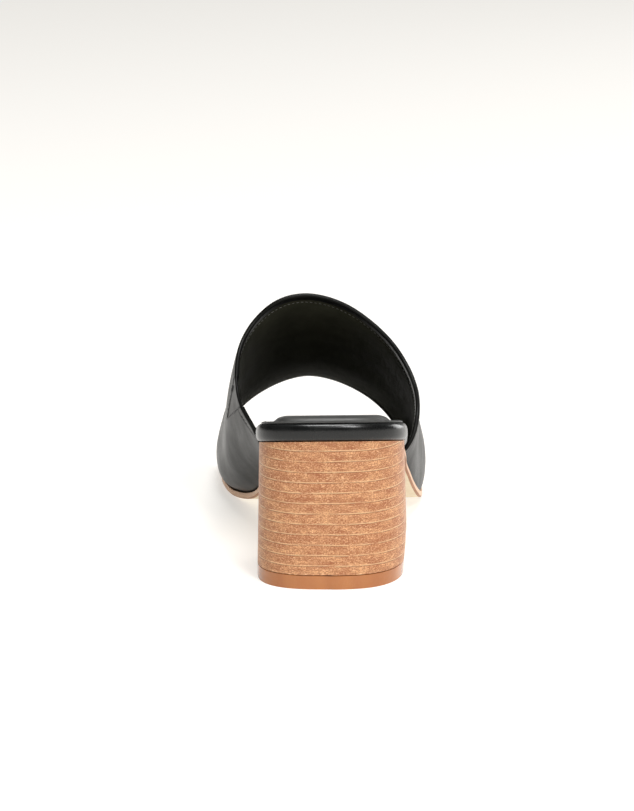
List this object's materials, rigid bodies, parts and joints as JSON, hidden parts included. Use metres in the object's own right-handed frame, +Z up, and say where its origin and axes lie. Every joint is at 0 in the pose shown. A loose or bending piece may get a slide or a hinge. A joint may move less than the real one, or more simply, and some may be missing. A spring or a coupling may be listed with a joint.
{
  "type": "heeled slide mule",
  "caption": "Open-toe, backless heeled slide with one wide leather band, a wrapped footbed, a thin tan sole and a stacked-look block heel.",
  "frame": {"origin": "middle of the heel's tread, on the floor", "axes": "+Y from the heel to the toe, +X to the outer (lateral) side of this right shoe, +Z up"},
  "size_m": [0.0907, 0.2279, 0.0947],
  "materials": {
    "upper_leather": "smooth black, semi-gloss",
    "gore": "smooth black",
    "rand_leather": "smooth black, glossy",
    "sock_leather": "smooth black lining, satin",
    "outsole": "tan edge, cream underside, matte",
    "stacked_heel": "stacked-leather look, satin",
    "lift": "glossy tan"
  },
  "bodies": {
    "root": {"upper": "upper_leather", "side_gore": "gore", "footbed": "rand_leather", "sock": "sock_leather", "outsole": "outsole", "heel_block": "stacked_heel", "top_piece": "lift"}
  },
  "joints": []
}
